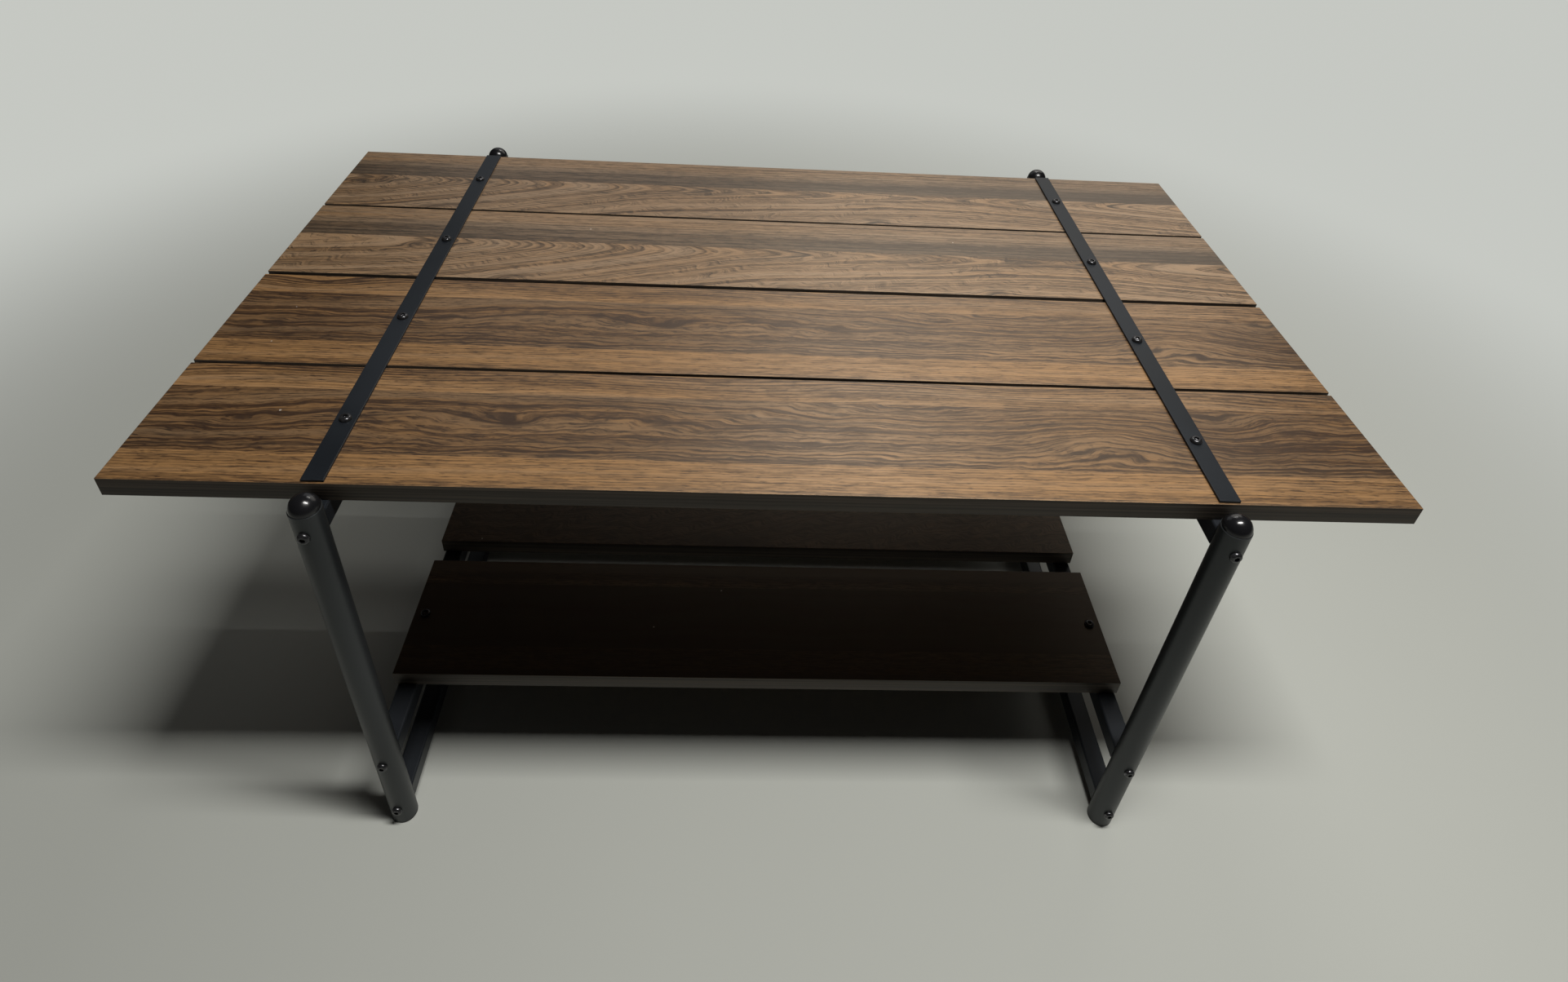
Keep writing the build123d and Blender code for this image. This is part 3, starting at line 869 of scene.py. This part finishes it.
# Soft rectangular lights: name, place, point faced, width, depth, power in watts, and colour.
LAMPS = (
    ("ceiling_strip", (0.5, -0.49, 2.4), (0.5, -0.49, 0), 1.05, 0.24, 49, (1.0, 0.985, 0.955)),
    ("rear_strip", (0.4, 1.7, 2.4), (0.4, 1.7, 0), 0.8, 0.24, 10, (1.0, 0.985, 0.955)),
    ("back_panel", (0.75, 1.4, 1.4), (0.5, 0, 0.6), 1.5, 1.1, 6.0, (1.0, 0.95, 0.88)),
    ("left_panel", (-0.45, 1.35, 1.2), (-0.3, 0, 0.5), 0.9, 1.1, 1.2, (0.96, 0.98, 1.0)),
)
SENSOR_WIDTH, LENS = 36.0, 20.957301  # millimetres
CAMERA_SHIFT = (0.00221436, -0.1198845)  # right and up, in widths of the view
CAMERA_PLACE = (-0.042481, -0.822477, 0.991025)
CAMERA_CLIP = (0.05, 60)  # metres
CAMERA_TURN = (56.15296, -3.14919, -1.27336)  # degrees about X, then Y, then Z


class TABLE_OT_top_boards(Operator):
    """Make the four boards of the top"""

    bl_idname = "table.top_boards"
    bl_label = "Top boards"

    def execute(self, context):
        boards(TOP_PLANKS, context.scene.table_boards, "walnut_face", TOP_SHINE)
        return {"FINISHED"}


class TABLE_OT_shelf_boards(Operator):
    """Make the three boards of the shelf"""

    bl_idname = "table.shelf_boards"
    bl_label = "Shelf boards"

    def execute(self, context):
        # The shelf's face is a duller copy of the top's face, as painted shade.
        boards(SHELF_PLANKS, context.scene.table_boards, "walnut_shelf_face", SHELF_SHINE)
        return {"FINISHED"}


class TABLE_OT_straps(Operator):
    """Make the flat steel straps across the top"""

    bl_idname = "table.straps"
    bl_label = "Straps"

    def execute(self, context):
        settings = context.scene.table_frames
        paint = material("strap_black", painted, settings.strap_colour, *STRAP_PAINT)
        for side in SIDES:
            node = f"{side}_strap"
            points, quads, arris = eased_block(*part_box(node), settings.strap_ease, *STRAP_CELL)
            publish("bar", node, [paint], [(points, quads)], {"arris": arris})
        return {"FINISHED"}


class TABLE_OT_rails(Operator):
    """Make the square rails of both side frames"""

    bl_idname = "table.rails"
    bl_label = "Rails"

    def execute(self, context):
        settings = context.scene.table_frames
        paint = material("rail_black", painted, settings.rail_colour, *RAIL_PAINT)
        for side in SIDES:
            for kind in RAILS:
                node = f"{side}_{kind}"
                shape = square_tube(node, f"rear_{side}_leg", settings)
                publish("tube", node, [paint], [shape])
        return {"FINISHED"}


def on_legs(ending, kind, finish, outline):
    """One turned piece on each leg, with an outline worked out from the leg's box and its own."""
    for end in ENDS:
        for side in SIDES:
            leg, node = f"{end}_{side}_leg", f"{end}_{side}_{ending}"
            x, y, _ = centre(leg)
            shape = lathe(outline(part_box(leg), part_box(node)), (x, y, 0))
            publish(kind, node, [finish], [shape])


class TABLE_OT_legs(Operator):
    """Make the four round legs"""

    bl_idname = "table.legs"
    bl_label = "Legs"

    def execute(self, context):
        settings = context.scene.table_frames
        paint = material("leg_charcoal", painted, settings.leg_colour, *LEG_PAINT)

        def outline(leg, own):
            outer, low, high = radius(own), own[0][2], own[1][2]
            bore, ease = outer - settings.leg_wall, LEG_EASE
            lower = [(bore, low), (outer - ease, low), (outer, low + ease), (outer, low + 2 * ease)]
            upper = [(outer, high - 2 * ease), (outer, high - ease), (outer - ease, high), (bore, high)]
            return lower + upper

        on_legs("leg", "tube", paint, outline)
        return {"FINISHED"}


class TABLE_OT_caps(Operator):
    """Make the domed caps on the legs"""

    bl_idname = "table.caps"
    bl_label = "Leg caps"

    def execute(self, context):
        settings = context.scene.table_small_parts

        def outline(leg, own):
            seat, foot, top = leg[1][2], own[0][2], own[1][2]
            rim = radius(leg) - settings.cap_reveal
            rise = top - seat - settings.cap_rim
            bow = (rim**2 + rise**2) / (2 * rise)
            span = math.degrees(math.asin(min(1.0, rim / bow)))
            dome = arc((0, top - bow), (bow, bow), 90, 90 - span, DOME_STEPS)
            stem, (bevel_in, bevel_up) = rim - CAP_LEDGE, CAP_BEVEL
            under = [(rim, seat + bevel_up), (rim - bevel_in, seat), (stem, seat), (stem, foot), (0, foot)]
            return [(0, top), *dome[1:], *under]

        gloss = material("gloss_cap_black", gloss_plastic, settings)
        on_legs("leg_cap", "dome", gloss, outline)
        return {"FINISHED"}


class TABLE_OT_feet(Operator):
    """Make the foot plugs under the legs"""

    bl_idname = "table.feet"
    bl_label = "Feet"

    def execute(self, context):
        wall = context.scene.table_frames.leg_wall

        def outline(leg, own):
            outer, low, seat, high = radius(own), own[0][2], leg[0][2], own[1][2]
            stem = outer - wall - PLUG_GAP
            rounding = arc((outer - FOOT_EASE, low + FOOT_EASE), (FOOT_EASE, FOOT_EASE), -90, 0, FOOT_STEPS)
            return [(0, low), *rounding, (outer, seat), (stem, seat), (stem, high), (0, high)]

        plastic = material("foot_plastic_black", matt_plastic, context.scene.table_small_parts)
        on_legs("foot_plug", "foot", plastic, outline)
        return {"FINISHED"}


class TABLE_OT_bolts(Operator):
    """Make the button head bolts of straps, shelf and legs"""

    bl_idname = "table.bolts"
    bl_label = "Bolts"

    def execute(self, context):
        settings = context.scene.table_small_parts
        oxide = material("bolt_black", black_oxide, settings)
        draw = np.random.default_rng(SOCKET_SEED)

        def bolts(node, places, length, lying=0):
            shapes = [button_bolt(place, length, lying, draw.uniform(0, 1), settings) for place in places]
            publish("set", node, [oxide], shapes)

        for side in SIDES:
            strap = f"{side}_strap"
            for kind, line, under_heads, planks in (
                ("strap", strap, strap, TOP_PLANKS),
                ("shelf", f"{side}_shelf_rail", SHELF_PLANKS[0], SHELF_PLANKS),
            ):
                node, x, face = f"{side}_{kind}_bolts", centre(line)[0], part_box(under_heads)[1][2]
                bolts(node, [(x, centre(plank)[1], face) for plank in planks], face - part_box(node)[0][2])
            for outer, end in enumerate(ENDS):
                node, leg = f"{end}_{side}_leg_bolts", f"{end}_{side}_leg"
                face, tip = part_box(leg)[outer][1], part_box(node)[1 - outer][1]
                places = [(centre(leg)[0], face, centre(f"{side}_{rail}")[2]) for rail in RAILS]
                bolts(node, places, abs(tip - face), lying=(-1, 1)[outer])
        return {"FINISHED"}


class TABLE_OT_hidden_fixings(Operator):
    """Plate the nuts and end blocks inside the rails"""

    bl_idname = "table.hidden_fixings"
    bl_label = "Hidden fixings"

    def execute(self, context):
        plate = material("zinc_plate", zinc, context.scene.table_small_parts)
        for side in SIDES:
            for kind in HIDDEN_FIXINGS:
                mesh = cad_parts[f"{side}_{kind}"].data
                mesh.materials.clear()
                mesh.materials.append(plate)
        return {"FINISHED"}


def lamp(name, place, aim, width, depth, power, colour):
    """Rectangular soft light at a place, facing a point."""
    data = bpy.data.lights.new(name, "AREA")
    data.shape, data.size, data.size_y = "RECTANGLE", width, depth
    data.energy, data.color = power, colour
    back = np.array(place) - np.array(aim)
    back /= np.linalg.norm(back)
    across = np.cross((0, 1, 0) if place[:2] == aim[:2] else (0, 0, 1), back)
    across /= np.linalg.norm(across)
    matrix = np.eye(4)
    matrix[:3] = np.stack([across, np.cross(back, across), back, place], 1)
    placed(data).matrix_world = Matrix(matrix.tolist())


def floor(reach, paint):
    """Square of floor, as far as the reach on each side of the table."""
    mesh = bpy.data.meshes.new("floor")
    corners = [(-reach, -reach, 0), (reach, -reach, 0), (reach, reach, 0), (-reach, reach, 0)]
    mesh.from_pydata(corners, [], [(0, 1, 2, 3)])
    mesh.materials.append(paint)
    placed(mesh)


def room(settings):
    """Even light from all round, with the backdrop's colour where the camera looks past the floor."""
    world = bpy.data.worlds.new("room")
    world.use_nodes = True
    tree = world.node_tree
    light = (*(settings.room_light,) * 3, 1)
    plug(tree.nodes["Background"], {"Color": blend(camera_ray(tree), light, settings.backdrop_colour)})
    return world


def camera():
    """View down from in front of the table, with its frame shifted down a little further."""
    data = bpy.data.cameras.new("camera")
    data.sensor_fit, data.sensor_width, data.lens = "HORIZONTAL", SENSOR_WIDTH, LENS
    data.shift_x, data.shift_y = CAMERA_SHIFT
    data.clip_start, data.clip_end = CAMERA_CLIP
    made = placed(data)
    turn = Euler([math.radians(angle) for angle in CAMERA_TURN]).to_matrix().to_4x4()
    made.matrix_world = Matrix.Translation(CAMERA_PLACE) @ turn
    return made


class TABLE_OT_stage(Operator):
    """Make the floor, the lamps and the camera"""

    bl_idname = "table.stage"
    bl_label = "Stage"

    def execute(self, context):
        scene, settings = context.scene, context.scene.table_stage
        floor(settings.floor_reach, material("floor_paint", floor_paint, settings))
        scene.world = room(settings)
        for values in LAMPS:
            lamp(*values)
        scene.camera = camera()
        scene.view_settings.view_transform = "Standard"
        return {"FINISHED"}


class TABLE_PT_pieces(Panel):
    """Lists the pieces of the table"""

    bl_idname = "TABLE_PT_pieces"
    bl_label = "Plank table"
    bl_space_type = "VIEW_3D"
    bl_region_type = "UI"
    bl_category = "Table"

    def draw(self, context):
        for operator in OPERATORS:
            self.layout.operator(operator.bl_idname)
        for name in SETTINGS:
            box, settings = self.layout.box(), getattr(context.scene, name)
            for key in settings.__annotations__:
                box.prop(settings, key)


OPERATORS = (
    TABLE_OT_top_boards, TABLE_OT_shelf_boards, TABLE_OT_straps, TABLE_OT_rails, TABLE_OT_legs,
    TABLE_OT_caps, TABLE_OT_feet, TABLE_OT_bolts, TABLE_OT_hidden_fixings, TABLE_OT_stage,
)
SETTINGS = {
    "table_boards": BoardSettings,
    "table_frames": FrameSettings,
    "table_small_parts": SmallPartSettings,
    "table_stage": StageSettings,
}


def register():
    """Registers the settings, operators and panel."""
    for made in (*SETTINGS.values(), *OPERATORS, TABLE_PT_pieces):
        bpy.utils.register_class(made)
    for name, made in SETTINGS.items():
        setattr(bpy.types.Scene, name, bpy.props.PointerProperty(type=made))


def unregister():
    """Removes what register added."""
    for name in SETTINGS:
        delattr(bpy.types.Scene, name)
    for made in (TABLE_PT_pieces, *reversed(OPERATORS), *reversed(SETTINGS.values())):
        bpy.utils.unregister_class(made)


def main():
    """Makes every piece and the stage."""
    register()
    for operator in OPERATORS:
        family, name = operator.bl_idname.split(".")
        getattr(getattr(bpy.ops, family), name)()


if __name__ == "__main__":
    main()
